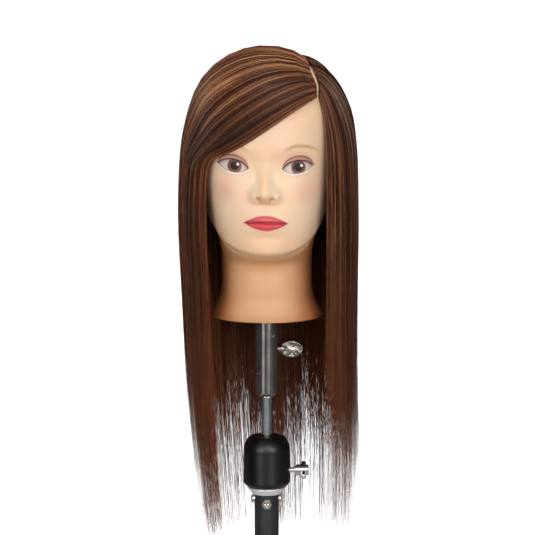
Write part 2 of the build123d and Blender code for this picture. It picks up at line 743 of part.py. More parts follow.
with BuildPart() as hair_crown:
    add(hair_mass.part)
    region((-FAR, FRINGE_BACK, CROWN_FOOT), (FAR, FAR, 3 * FAR), Mode.INTERSECT)
save(hair_crown, "hair_crown")

with BuildPart() as hair_fringe:
    add(hair_mass.part)
    region((-FAR, -FAR, FRINGE_FOOT), (PARTING_X, FRINGE_BACK, 3 * FAR), Mode.INTERSECT)
save(hair_fringe, "hair_fringe")

with BuildPart() as hair_part_side:
    add(hair_mass.part)
    region((PARTING_X, -FAR, FRINGE_FOOT), (FAR, FRINGE_BACK, 3 * FAR), Mode.INTERSECT)
save(hair_part_side, "hair_part_side")

for side_name, low_x, high_x in (("hair_left", -FAR, 0), ("hair_right", 0, FAR)):
    with BuildPart() as hair_side:
        add(hair_mass.part)
        region((low_x, -FAR, 0), (high_x, CURTAIN_BACK, CROWN_FOOT), Mode.INTERSECT)
        region((-FAR, -FAR, FRINGE_FOOT), (FAR, FRINGE_BACK, 3 * FAR), Mode.SUBTRACT)
    save(hair_side, side_name)

for side_name, low_x, high_x in (
    ("hair_back_left", -FAR, BACK_PARTING_X),
    ("hair_back_right", BACK_PARTING_X, FAR),
):
    with BuildPart() as hair_back:
        add(hair_mass.part)
        region((low_x, CURTAIN_BACK, 0), (high_x, FAR, CROWN_FOOT), Mode.INTERSECT)
    save(hair_back, side_name)
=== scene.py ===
"""Hairdresser's training head on its holder: materials, sculpted vinyl head, hair and studio."""

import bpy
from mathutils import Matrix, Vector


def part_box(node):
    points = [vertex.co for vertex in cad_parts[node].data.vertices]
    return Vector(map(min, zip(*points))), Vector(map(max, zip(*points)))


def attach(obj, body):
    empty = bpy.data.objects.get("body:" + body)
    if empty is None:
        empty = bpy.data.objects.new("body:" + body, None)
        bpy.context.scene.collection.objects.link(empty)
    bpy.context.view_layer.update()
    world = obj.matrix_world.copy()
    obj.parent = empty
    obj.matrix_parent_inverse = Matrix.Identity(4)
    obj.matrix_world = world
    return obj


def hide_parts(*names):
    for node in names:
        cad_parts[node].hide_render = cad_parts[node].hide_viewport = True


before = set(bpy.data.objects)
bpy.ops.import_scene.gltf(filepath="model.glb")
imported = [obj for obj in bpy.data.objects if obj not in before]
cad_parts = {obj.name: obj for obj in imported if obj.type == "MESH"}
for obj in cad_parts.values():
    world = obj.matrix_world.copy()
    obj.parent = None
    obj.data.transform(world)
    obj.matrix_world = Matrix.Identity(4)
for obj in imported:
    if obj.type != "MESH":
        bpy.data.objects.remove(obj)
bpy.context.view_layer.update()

import math

import bpy
import numpy as np
from mathutils import Vector

MM = 0.001
rng = np.random.default_rng(7)


# ---- small helpers ------------------------------------------------------------------------

def srgb(code):
    """A hex colour as linear red, green and blue."""
    values = np.array([int(code[i:i + 2], 16) / 255 for i in (0, 2, 4)])
    return np.where(values <= 0.04045, values / 12.92, ((values + 0.055) / 1.055) ** 2.4)


def smooth_step(low, high, value):
    """0 below low, 1 above high, smooth between."""
    t = np.clip((value - low) / (high - low), 0.0, 1.0)
    return t * t * (3.0 - 2.0 * t)


def hill(value, centre, width):
    """A bell of height 1."""
    return np.exp(-((value - centre) / width) ** 2)


def smooth_max(a, b, softness):
    """The larger of two values, rounded where they meet."""
    return 0.5 * (a + b + np.sqrt((a - b) ** 2 + softness ** 2))


def node_material(name):
    """A new material with its nodes, links and Principled shader."""
    material = bpy.data.materials.new(name)
    material.use_nodes = True
    shader = material.node_tree.nodes["Principled BSDF"]
    return material, material.node_tree.nodes, material.node_tree.links, shader


def noise_field(nodes, links, scale, stretch=(1, 1, 1), detail=4.0):
    """Noise in object space, stretched along an axis. Returns its factor."""
    place = nodes.new("ShaderNodeTexCoord")
    mapping = nodes.new("ShaderNodeMapping")
    mapping.inputs["Scale"].default_value = stretch
    noise = nodes.new("ShaderNodeTexNoise")
    noise.inputs["Scale"].default_value = scale
    noise.inputs["Detail"].default_value = detail
    links.new(place.outputs["Object"], mapping.inputs["Vector"])
    links.new(mapping.outputs["Vector"], noise.inputs["Vector"])
    return noise.outputs["Fac"]


def ramp(nodes, links, factor, stops):
    """Colours along a factor: stops are (position, (r, g, b))."""
    node = nodes.new("ShaderNodeValToRGB")
    elements = node.color_ramp.elements
    while len(elements) < len(stops):
        elements.new(0.5)
    for element, (position, colour) in zip(elements, stops):
        element.position = position
        element.color = (*colour, 1.0)
    links.new(factor, node.inputs["Fac"])
    return node.outputs["Color"]


def spread(nodes, links, factor, low, high):
    """A factor from 0 to 1 mapped to low to high."""
    node = nodes.new("ShaderNodeMapRange")
    node.inputs["From Min"].default_value = 0.25
    node.inputs["From Max"].default_value = 0.75
    node.inputs["To Min"].default_value = low
    node.inputs["To Max"].default_value = high
    links.new(factor, node.inputs["Value"])
    return node.outputs["Result"]


def add_bump(nodes, links, shader, height, strength, distance):
    """Fine relief from a factor; distance is in metres."""
    bump = nodes.new("ShaderNodeBump")
    bump.inputs["Strength"].default_value = strength
    bump.inputs["Distance"].default_value = distance
    links.new(height, bump.inputs["Height"])
    links.new(bump.outputs["Normal"], shader.inputs["Normal"])


def metal(name, dark, light, rough, scale=300.0, stretch=(1, 1, 1), bump=0.02, depth=0.0002, metallic=1.0):
    """Metal whose colour, roughness and relief vary along fine machining marks."""
    material, nodes, links, shader = node_material(name)
    shader.inputs["Metallic"].default_value = metallic
    marks = noise_field(nodes, links, scale, stretch)
    cloud = noise_field(nodes, links, 60.0, detail=2.0)
    links.new(ramp(nodes, links, cloud, [(0.3, dark), (0.7, light)]), shader.inputs["Base Color"])
    links.new(spread(nodes, links, marks, *rough), shader.inputs["Roughness"])
    add_bump(nodes, links, shader, marks, bump, depth)
    return material


def plastic(name, dark, light, rough, scale=900.0, bump=0.1, coat=0.0):
    """Plastic or paint with a fine grain and a slight cloud in its colour."""
    material, nodes, links, shader = node_material(name)
    grain = noise_field(nodes, links, scale, detail=3.0)
    cloud = noise_field(nodes, links, 45.0, detail=3.0)
    links.new(ramp(nodes, links, cloud, [(0.3, dark), (0.7, light)]), shader.inputs["Base Color"])
    links.new(spread(nodes, links, grain, *rough), shader.inputs["Roughness"])
    shader.inputs["Coat Weight"].default_value = coat
    add_bump(nodes, links, shader, grain, bump, 0.0002)
    return material


def paint_node(material, *names):
    """Give CAD nodes a material of this scene."""
    for name in names:
        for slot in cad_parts[name].material_slots:
            slot.link = "OBJECT"
            slot.material = material


def mesh_piece(name, points, faces, material, colours=None, gloss=None):
    """A mesh from points in millimetres and quads, with colour and gloss per point."""
    mesh = bpy.data.meshes.new(name)
    points = np.asarray(points, dtype=np.float32) * MM
    faces = np.asarray(faces, dtype=np.int32)
    count, sides = faces.shape
    mesh.vertices.add(len(points))
    mesh.vertices.foreach_set("co", points.ravel())
    mesh.loops.add(count * sides)
    mesh.loops.foreach_set("vertex_index", faces.ravel())
    mesh.polygons.add(count)
    mesh.polygons.foreach_set("loop_start", np.arange(count, dtype=np.int32) * sides)
    mesh.update(calc_edges=True)
    mesh.polygons.foreach_set("use_smooth", np.full(count, True))
    if colours is not None:
        layer = mesh.color_attributes.new("paint", "FLOAT_COLOR", "POINT")
        rgba = np.ones((len(points), 4), dtype=np.float32)
        rgba[:, :3] = colours
        layer.data.foreach_set("color", rgba.ravel())
    if gloss is not None:
        layer = mesh.attributes.new("gloss", "FLOAT", "POINT")
        layer.data.foreach_set("value", np.asarray(gloss, dtype=np.float32))
    mesh.materials.append(material)
    mesh.validate()
    piece = bpy.data.objects.new(name, mesh)
    bpy.context.scene.collection.objects.link(piece)
    return piece


def grid_faces(rows, columns, closed=False):
    """Quads of a grid of points in row order; closed joins the last column to the first."""
    r = np.arange(rows - 1)[:, None]
    c = np.arange(columns if closed else columns - 1)[None, :]
    nxt = (c + 1) % columns
    low_row, high_row = r * columns, (r + 1) * columns
    quads = np.stack([low_row + c, low_row + nxt, high_row + nxt, high_row + c], -1)
    return quads.reshape(-1, 4)


# ---- CAD materials ------------------------------------------------------------------------

def dress_cad():
    """Materials for the CAD nodes that show as they are."""
    black_coat = plastic(
        "black_coat", (0.012, 0.012, 0.013), (0.022, 0.022, 0.024), (0.42, 0.58), 1400, 0.25,
    )
    satin_black = plastic(
        "satin_black", (0.002, 0.002, 0.002), (0.004, 0.004, 0.004), (0.3, 0.4), 1800, 0.06,
    )
    silver = metal("silver_plate", (0.88, 0.88, 0.89), (0.97, 0.97, 0.98), (0.25, 0.34), 90, metallic=0.4)
    aluminium = metal(
        "turned_aluminium", (0.6, 0.6, 0.62), (0.75, 0.75, 0.77), (0.28, 0.45), 400, (1, 1, 20),
    )
    nickel = metal("warm_nickel", (0.7, 0.64, 0.54), (0.95, 0.9, 0.82), (0.14, 0.3), 220)
    bright_nickel = metal("bright_nickel", (0.7, 0.69, 0.66), (0.86, 0.85, 0.83), (0.06, 0.16), 260)
    steel = metal("plain_steel", (0.4, 0.4, 0.42), (0.55, 0.55, 0.57), (0.3, 0.5), 300)
    brass = metal("plain_brass", (0.6, 0.43, 0.18), (0.78, 0.6, 0.3), (0.22, 0.4), 300)
    chrome = metal("chrome_plate", (0.31, 0.29, 0.275), (0.43, 0.41, 0.39), (0.05, 0.12), 160, metallic=0.85)
    cast = metal(
        "cast_chrome", (0.08, 0.07, 0.06), (0.38, 0.34, 0.30), (0.08, 0.2), 150, bump=0.7, depth=0.003,
    )
    drawn = metal(
        "drawn_steel", (0.15, 0.165, 0.175), (0.25, 0.27, 0.29), (0.3, 0.5), 700,
        (1, 1, 0.03), 0.08, 0.0002, 0.6,
    )
    polished = metal("polished_steel", (0.6, 0.58, 0.55), (0.75, 0.73, 0.7), (0.08, 0.18), 200)
    bush_face = metal("bush_face", (0.8, 0.8, 0.8), (0.95, 0.95, 0.95), (0.2, 0.35), 300)
    white_nylon = plastic("white_nylon", (0.7, 0.69, 0.64), (0.82, 0.81, 0.77), (0.35, 0.5), 700, 0.05)
    black_nylon = plastic("black_nylon", (0.015, 0.015, 0.016), (0.03, 0.03, 0.032), (0.4, 0.55), 700, 0.05)
    board = plastic("disc_board", (0.5, 0.4, 0.28), (0.66, 0.54, 0.4), (0.6, 0.8), 500, 0.3)
    foam = plastic("rigid_foam", (0.7, 0.6, 0.35), (0.85, 0.76, 0.5), (0.8, 0.95), 500, 0.8)
    paint_node(black_coat, "post_tube")
    paint_node(satin_black, "housing")
    paint_node(silver, "base_plate")
    paint_node(aluminium, "post_insert")
    paint_node(nickel, "front_screw", "side_screws")
    paint_node(bright_nickel, "lock_screw", "lock_bar")
    paint_node(steel, "plate_bolt", "wedge_block", "disc_springs")
    paint_node(steel, "spigot_screw", "bush_screw", "disc_screws")
    paint_node(brass, "lock_pad", "wing_pad")
    paint_node(bush_face, "sleeve_bush")
    paint_node(chrome, "sleeve", "spigot")
    paint_node(cast, "wing_screw")
    paint_node(drawn, "rod")
    paint_node(polished, "ball", "guide_pin")
    paint_node(white_nylon, "ball_seat")
    paint_node(black_nylon, "swivel_bush", "neck_socket")
    paint_node(board, "neck_disc")
    paint_node(foam, "foam_core")


# ---- vinyl head ---------------------------------------------------------------------------

# Heights of the face's landmarks, above the neck base where the CAD skin starts.
skin_low, skin_high = (np.array(corner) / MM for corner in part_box("vinyl_skin"))
NECK_BASE = skin_low[2]
SKULL_TOP = skin_high[2]
EYE_Z = NECK_BASE + 162.3
BROW_Z = NECK_BASE + 180.7
NOSE_Z = NECK_BASE + 136.5
NOSE_FOOT = NECK_BASE + 123.5
MOUTH_Z = NECK_BASE + 105.0
CHIN_FOOT = NECK_BASE + 61.0
JAW_RISE = 33.0
FACE_TILT = 0.022
FRONT_POWER = 2.25
EYE_MIDDLE_X = -1.2
EYE_INNER = 16.6
EYE_LENGTH = 30.4
NOSE_X = -1.6
MOUTH_X = -0.9
LIP_HALF = 22.0
# Nominal radius of the neck's foot, which turns a distance inward into a scale.
RIM_R = 52.0

# Half width, depth in front of the axis and depth behind it, up the head.
SKULL_Z = np.array([51, 70, 86, 104, 126, 156, 186, 216, 241, 254, 260]) + NECK_BASE
SKULL_HALF = np.array([49, 52, 55, 59, 64, 70, 72.5, 69, 55, 35.5, 12])
SKULL_FRONT = np.array([74, 77, 80.5, 83, 85.2, 86, 88.5, 81, 60, 34, 6])
SKULL_BACK = np.array([46, 50, 56, 62, 74, 86, 93, 91, 76, 52, 23])
# The neck, flared at its foot and sloping forward to the chin: level ellipses as in the CAD.
NECK_Z = np.array([0, 7.5, 19.5, 31, 41.5, 51.5, 59.5, 65.5, 71.5, 77.5, 83.5, 91.5, 101.5]) + NECK_BASE
NECK_Y = np.array([2, 2, 2, 1.2, 1, 0.7, -1.8, -7, -10.4, -11.6, -12, -12, -11])
NECK_HALF = np.array([56.6, 52.6, 47.2, 45.2, 45, 45, 45, 45.1, 46, 47.2, 49, 52, 56])
NECK_DEPTH = np.array([55.4, 52.4, 48.8, 48.6, 48.2, 48.0, 51, 56.6, 60.6, 63.2, 65.2, 67.0, 69.0])


def along(z, knots_z, knots):
    """Smooth values between knots up the head (cubic through the points)."""
    slope = np.gradient(knots, knots_z)
    i = np.clip(np.searchsorted(knots_z, z) - 1, 0, len(knots_z) - 2)
    step = knots_z[i + 1] - knots_z[i]
    t = np.clip((z - knots_z[i]) / step, 0.0, 1.0)
    t2, t3 = t * t, t * t * t
    return (
        (2 * t3 - 3 * t2 + 1) * knots[i]
        + (t3 - 2 * t2 + t) * step * slope[i]
        + (3 * t2 - 2 * t3) * knots[i + 1]
        + (t3 - t2) * step * slope[i + 1]
    )


def eye_curves(x):
    """Along one eye: place from inner to outer corner, upper edge, lower edge and crease."""
    s = (np.abs(x - EYE_MIDDLE_X) - EYE_INNER) / EYE_LENGTH
    inside = np.clip(4 * s * (1 - s), 0, 1)
    base = EYE_Z - 3.4 + 3.2 * s
    upper = base + 7.3 * inside ** 0.66
    lower = base - 5.7 * inside ** 0.8
    crease = upper + 0.9 + 3.0 * inside ** 0.5
    return s, upper, lower, crease


def mouth_curves(x):
    """Line between the lips, top of the upper lip and foot of the lower lip."""
    m = np.abs(x - MOUTH_X)
    far = np.clip(m / LIP_HALF, 0, 1)
    line = MOUTH_Z + 0.3 * hill(m, 8, 5) - 0.5 * far ** 3
    top = line + 7.6 * (1 - far ** 1.7) - 0.2 * hill(m, 0, 2)
    foot = line - 8.0 * np.clip(1 - (m / (LIP_HALF - 1)) ** 2.1, 0, 1)
    return line, top, foot


def face_relief(x, z):
    """How far the face stands out from the plain head at x, z."""
    z = z + FACE_TILT * x
    side = np.abs(x - EYE_MIDDLE_X)
    nose = np.abs(x - NOSE_X)
    mouth = np.abs(x - MOUTH_X)
    relief = -6.5 * np.exp(-(((side - 27) / 16) ** 2 + ((z - EYE_Z - 2) / 10.5) ** 2))
    ball = ((side - 31.5) / 15) ** 2 + ((z - EYE_Z + 0.5) / 9.5) ** 2
    relief += 5.2 * np.exp(-ball ** 1.3)
    s, upper, lower, crease = eye_curves(x)
    within = smooth_step(-0.06, 0.08, s) * smooth_step(1.10, 0.92, s)
    relief += 1.5 * hill(z, (upper + crease) / 2, 1.7) * within
    relief -= 0.9 * hill(z, crease, 0.8) * within
    relief += 0.8 * hill(z, lower - 1.3, 1.2) * within
    relief += 1.8 * np.exp(-(((side - 29) / 20) ** 2 + ((z - BROW_Z + 2) / 7) ** 2))
    relief += 2.4 * np.exp(-(((side - 35) / 17) ** 2 + ((z - NOSE_Z - 2) / 17) ** 2))
    # nose: bridge and tip, wings, nostrils, and the groove below it
    up = np.clip((z - NOSE_Z) / 31.0, 0, 1)
    down = np.clip((NOSE_Z - z) / (NOSE_Z - NOSE_FOOT), 0, 1)
    ridge = 13.8 * np.where(z > NOSE_Z, (1 - up) ** 1.25, (1 - down ** 2.2) ** 1.1)
    width = 11.6 - 3.8 * smooth_step(0.0, 0.4, up) + 3.0 * smooth_step(0.5, 1.0, up)
    bridge = ridge * np.exp(-(nose / width) ** 2.2)
    wings = 6.8 * np.exp(-((((nose - 10.2) / 5.4) ** 2 + ((z - NOSE_Z + 4.6) / 6.4) ** 2)) ** 1.15)
    relief += np.maximum(smooth_max(bridge, wings, 1.6) - 0.8, 0.0)
    relief -= 3.6 * np.exp(-(((nose - 6.6) / 2.5) ** 2 + ((z - NOSE_Z + 7.2) / 2.1) ** 2))
    relief -= 0.9 * np.exp(-((nose / 3.2) ** 2 + ((z - NOSE_FOOT + 3) / 4.5) ** 2))
    # mouth and chin
    relief += 3.6 * np.exp(-((x / 25) ** 2 + ((z - MOUTH_Z - 1) / 14) ** 2))
    line, top, foot = mouth_curves(x)
    in_upper = np.clip((z - line) / np.maximum(top - line, 0.3), 0, 1)
    in_lower = np.clip((line - z) / np.maximum(line - foot, 0.3), 0, 1)
    wide = smooth_step(LIP_HALF + 1, LIP_HALF - 7, mouth)
    relief += 2.3 * wide * np.sin(np.pi * in_upper ** 0.8) ** 0.8
    relief += 3.2 * wide * np.sin(np.pi * in_lower ** 0.85) ** 0.8
    relief -= 0.9 * hill(z, line, 0.9) * smooth_step(LIP_HALF + 1.5, LIP_HALF - 3, mouth)
    relief -= 2.0 * np.exp(-((x / 17) ** 2 + ((z - MOUTH_Z + 15) / 4.5) ** 2))
    relief += 4.0 * np.exp(-((x / 17) ** 2 + ((z - CHIN_FOOT - 13) / 9) ** 2))
    return relief


def head_radius(turn, z):
    """Distance of the plain head and neck from the axis: turn is the angle from the front."""
    behind = smooth_step(75, 120, np.degrees(np.abs(turn)))
    sine, cosine = np.sin(turn), np.cos(turn)
    half = along(z, SKULL_Z, SKULL_HALF)
    depth = np.where(cosine > 0, along(z, SKULL_Z, SKULL_FRONT), along(z, SKULL_Z, SKULL_BACK))
    power = FRONT_POWER - 0.25 * behind
    skull = ((np.abs(sine) / half) ** power + (np.abs(cosine) / depth) ** power) ** (-1 / power)
    jaw_foot = CHIN_FOOT + JAW_RISE * np.abs(sine) ** 2.4 * (1 - behind) + behind * 41
    jaw_rise = 15.0 + 45.0 * behind
    t = np.clip((z - jaw_foot) / jaw_rise, 0, 1)
    skull = skull * (1 - (1 - t) ** 2.2) ** (1 / 2.2)
    middle = along(z, NECK_Z, NECK_Y)
    neck_half = along(z, NECK_Z, NECK_HALF)
    neck_depth = along(z, NECK_Z, NECK_DEPTH)
    across = (sine / neck_half) ** 2 + (cosine / neck_depth) ** 2
    shift = -cosine * middle / neck_depth ** 2
    neck = (shift + np.sqrt(shift ** 2 + across * (1 - (middle / neck_depth) ** 2))) / across
    neck = neck * (1 - 0.7 * smooth_step(102, 150, z - NECK_BASE))
    return smooth_max(skull, neck, 1.0 + 13 * behind)


def head_point(turn, z):
    """Surface of head and neck with the face on it."""
    radius = head_radius(turn, z)
    x = radius * np.sin(turn)
    y = -radius * np.cos(turn)
    jaw_foot = CHIN_FOOT + JAW_RISE * np.abs(np.sin(turn)) ** 2.4
    front = smooth_step(0.0, 0.35, np.cos(turn)) * smooth_step(0.0, 9.0, z - jaw_foot)
    return x, y - face_relief(x, z) * front, z


def front_y(x, z):
    """Depth of the face at x, z, for paint that lies on it."""
    half = along(z, SKULL_Z, SKULL_HALF)
    depth = along(z, SKULL_Z, SKULL_FRONT)
    plain = depth * (1 - (np.abs(x) / half) ** FRONT_POWER) ** (1 / FRONT_POWER)
    return -plain - face_relief(x, z)


def blend(colours, other, amount):
    """Lay a colour over others by an amount per point."""
    amount = np.clip(amount, 0, 1)[:, None]
    return colours * (1 - amount) + np.asarray(other) * amount


def skin_paint(x, y, z):
    """Colour and gloss of the painted vinyl, with painted shade and painted light in the colour."""
    high = z + FACE_TILT * x
    side = np.abs(x - EYE_MIDDLE_X)
    nose = np.abs(x - NOSE_X)
    mouth = np.abs(x - MOUTH_X)
    front = smooth_step(20, -30, y)
    sine = np.abs(x) / np.maximum(np.hypot(x, y), 1)
    jaw = z - CHIN_FOOT - JAW_RISE * sine ** 2.4 * front
    colours = np.tile(srgb("efcba8"), (len(x), 1))
    # painted shade: the neck below the jaw line painted darker
    colours = blend(colours, srgb("dba678"), smooth_step(9, 2, jaw) * 0.9)
    colours = blend(colours, srgb("c98550"), smooth_step(9, 1, z - NECK_BASE) * 0.5)
    # painted shade: the sides of the face beside the hair painted a darker amber
    colours = blend(colours, srgb("e0a468"), smooth_step(50, 64, side) * 0.4 * front)
    # painted shade: an amber band along the jaw line, where the chin turns away from the light
    colours = blend(colours, srgb("d48c4e"), 0.55 * hill(jaw, 1, 5))
    below_jaw = smooth_step(6, -2, jaw)
    # painted shade: the sides of the neck below the jaw painted a dark saturated amber
    colours = blend(colours, srgb("b8682f"), smooth_step(24, 46, side) * 0.75 * below_jaw)
    colours = blend(colours, srgb("e2b68c"), 0.6 * smooth_step(42, 12, jaw) * (1 - below_jaw))
    # painted light: the cheeks and the sides of the face below the eyes painted paler
    pale = np.exp(-(((side - 42) / 25) ** 2 + ((high - NOSE_Z + 4) / 36) ** 2))
    colours = blend(colours, srgb("ffdfbe"), 0.85 * pale * front * (1 - below_jaw))
    cheek = np.exp(-(((side - 40) / 12) ** 2 + ((high - NOSE_Z + 1) / 14) ** 2))
    colours = blend(colours, srgb("eda492"), 0.5 * cheek * front)
    # painted shade: tan beside the nose, between the eyes and cheeks
    beside_nose = np.exp(-(((side - 13) / 6) ** 2 + ((high - EYE_Z + 2) / 11) ** 2))
    colours = blend(colours, srgb("dda878"), 0.25 * front * beside_nose)
    s, upper, lower, crease = eye_curves(x)
    along_eye = smooth_step(-0.08, 0.08, s) * smooth_step(1.10, 0.95, s) * front
    lid = smooth_step(-0.5, 0.6, high - upper) * smooth_step(0.6, -0.4, high - crease)
    colours = blend(colours, srgb("e0ab90"), 0.45 * along_eye * hill(high, crease + 2.2, 3.4))
    colours = blend(colours, srgb("bd8270"), 0.85 * lid * along_eye)
    colours = blend(colours, srgb("7d4642"), 0.85 * hill(high, crease, 1.1) * along_eye)
    colours = blend(colours, srgb("f6ebe6"), 0.85 * hill(high, lower - 1.1, 0.9) * along_eye)
    brow_s = (side - 17) / 36
    arch = 4.6 * np.clip(1 - ((brow_s - 0.42) / 0.5) ** 2, -3, 1)
    brow_line = BROW_Z - 3.0 + arch * smooth_step(-0.2, 0.4, brow_s)
    brow_ends = smooth_step(-0.05, 0.25, brow_s) * smooth_step(1.05, 0.7, brow_s)
    brow = hill(high, brow_line, 2.3 - 0.8 * brow_s) * brow_ends
    colours = blend(colours, srgb("b0745a"), 0.68 * brow * front)
    # painted light: the flanks of the nose bridge painted paler, over the shade of its slopes
    bridge_height = smooth_step(NOSE_Z - 9, NOSE_Z, high) * smooth_step(EYE_Z, EYE_Z - 14, high)
    flank = hill(nose, 10.0, 4.0) * bridge_height
    colours = blend(colours, srgb("ffe6c8"), 0.6 * flank * front)
    hole = np.exp(-(((nose - 6.6) / 2.6) ** 2 + ((high - NOSE_Z + 6.8) / 1.9) ** 2) ** 1.2)
    colours = blend(colours, srgb("b8742f"), 0.75 * hole * front)
    # painted shade: amber under the nose
    under = np.exp(-((nose / 9) ** 2 + ((high - NOSE_FOOT - 2) / 3.6) ** 2))
    colours = blend(colours, srgb("d49a62"), 0.5 * under * front)
    line, top, foot = mouth_curves(x)
    wide = smooth_step(LIP_HALF + 1, LIP_HALF - 1, mouth) * front
    upper_lip = smooth_step(-0.3, 0.3, high - line) * smooth_step(0.45, -0.45, high - top) * wide
    lower_lip = smooth_step(-0.3, 0.3, line - high) * smooth_step(0.45, -0.45, foot - high) * wide
    colours = blend(colours, srgb("e0656c"), upper_lip)
    colours = blend(colours, srgb("e4505c"), lower_lip)
    parting = hill(high, line, 0.9) * smooth_step(LIP_HALF + 1, LIP_HALF - 2, mouth) * front
    colours = blend(colours, srgb("ac1828"), 0.95 * parting)
    colours = blend(colours, srgb("b02a3a"), 0.7 * hill(high, line + 1.6, 1.4) * upper_lip)
    colours = blend(colours, srgb("b02a3a"), 0.8 * smooth_step(13, 22, mouth) * (upper_lip + lower_lip))
    gloss = np.clip(upper_lip + lower_lip, 0, 1)
    return colours, gloss


def vinyl_material():
    """Painted vinyl: matt skin, glossier lips, a little light scattered inside."""
    material, nodes, links, shader = node_material("painted_vinyl")
    paint = nodes.new("ShaderNodeAttribute")
    paint.attribute_name = "paint"
    gloss = nodes.new("ShaderNodeAttribute")
    gloss.attribute_name = "gloss"
    cloud = noise_field(nodes, links, 28.0, detail=3.0)
    tint = nodes.new("ShaderNodeMix")
    tint.data_type = "RGBA"
    tint.blend_type = "MULTIPLY"
    tint.inputs["Factor"].default_value = 0.5
    links.new(paint.outputs["Color"], tint.inputs["A"])
    links.new(ramp(nodes, links, cloud, [(0.3, (0.97, 0.94, 0.92)), (0.7, (1, 1, 1))]), tint.inputs["B"])
    links.new(tint.outputs["Result"], shader.inputs["Base Color"])
    rough = nodes.new("ShaderNodeMapRange")
    rough.inputs["To Min"].default_value = 0.45
    rough.inputs["To Max"].default_value = 0.22
    links.new(gloss.outputs["Fac"], rough.inputs["Value"])
    links.new(rough.outputs["Result"], shader.inputs["Roughness"])
    shader.inputs["Subsurface Weight"].default_value = 0.3
    shader.inputs["Subsurface Radius"].default_value = (1.0, 0.45, 0.25)
    shader.inputs["Subsurface Scale"].default_value = 0.006
    grain = noise_field(nodes, links, 1100.0, detail=2.0)
    add_bump(nodes, links, shader, grain, 0.04, 0.0002)
    return material


def make_head():
    """The vinyl head as one grid of points round and up, finest over the face."""
    front = np.linspace(-50, 50, 251)
    back = np.linspace(50, 310, 72)[1:-1]
    turn = np.radians(np.concatenate([front, back]))
    heights = np.concatenate([
        np.linspace(0, 62, 36),
        np.linspace(62, 192, 218)[1:],
        np.linspace(192, SKULL_TOP - NECK_BASE, 26)[1:],
    ]) + NECK_BASE
    grid_turn, grid_z = np.meshgrid((turn + np.pi) % (2 * np.pi) - np.pi, heights)
    x, y, z = head_point(grid_turn, grid_z)
    # the rim turns in under the neck base, and inside it the wall goes back up
    rim = []
    for inward, up in ((0.8, 0.0), (3.0, 0.4), (3.4, 6.0)):
        scale = 1 - inward / RIM_R
        rim.append(np.stack([x[0] * scale, y[0] * scale, z[0] + up], -1))
    rows = [*rim[::-1], *np.stack([x, y, z], -1)]
    points = np.concatenate(rows)
    faces = grid_faces(len(rows), len(turn), closed=True)
    colours, gloss = skin_paint(points[:, 0], points[:, 1], points[:, 2])
    piece = mesh_piece("vinyl_head", points, faces, vinyl_material(), colours=colours, gloss=gloss)
    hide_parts("vinyl_skin")
    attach(piece, "head")


# ---- painted eyes -------------------------------------------------------------------------

# Places and radii of iris and pupil, from the middle of the face and the height of the eyes.
IRIS_X = 31.4
IRIS_SHIFT = -0.3
IRIS_LIFT = -1.6
IRIS_R = 7.1
PUPIL_R = 4.0


def eye_material():
    """Painted eyes with a faint speck."""
    material, nodes, links, shader = node_material("painted_eye")
    paint = nodes.new("ShaderNodeAttribute")
    paint.attribute_name = "paint"
    speck = noise_field(nodes, links, 2500.0, detail=2.0)
    tint = nodes.new("ShaderNodeMix")
    tint.data_type = "RGBA"
    tint.blend_type = "MULTIPLY"
    tint.inputs["Factor"].default_value = 0.35
    links.new(paint.outputs["Color"], tint.inputs["A"])
    links.new(ramp(nodes, links, speck, [(0.3, (0.8, 0.78, 0.76)), (0.7, (1, 1, 1))]), tint.inputs["B"])
    links.new(tint.outputs["Result"], shader.inputs["Base Color"])
    shader.inputs["Roughness"].default_value = 0.45
    shader.inputs["Specular IOR Level"].default_value = 0.25
    return material


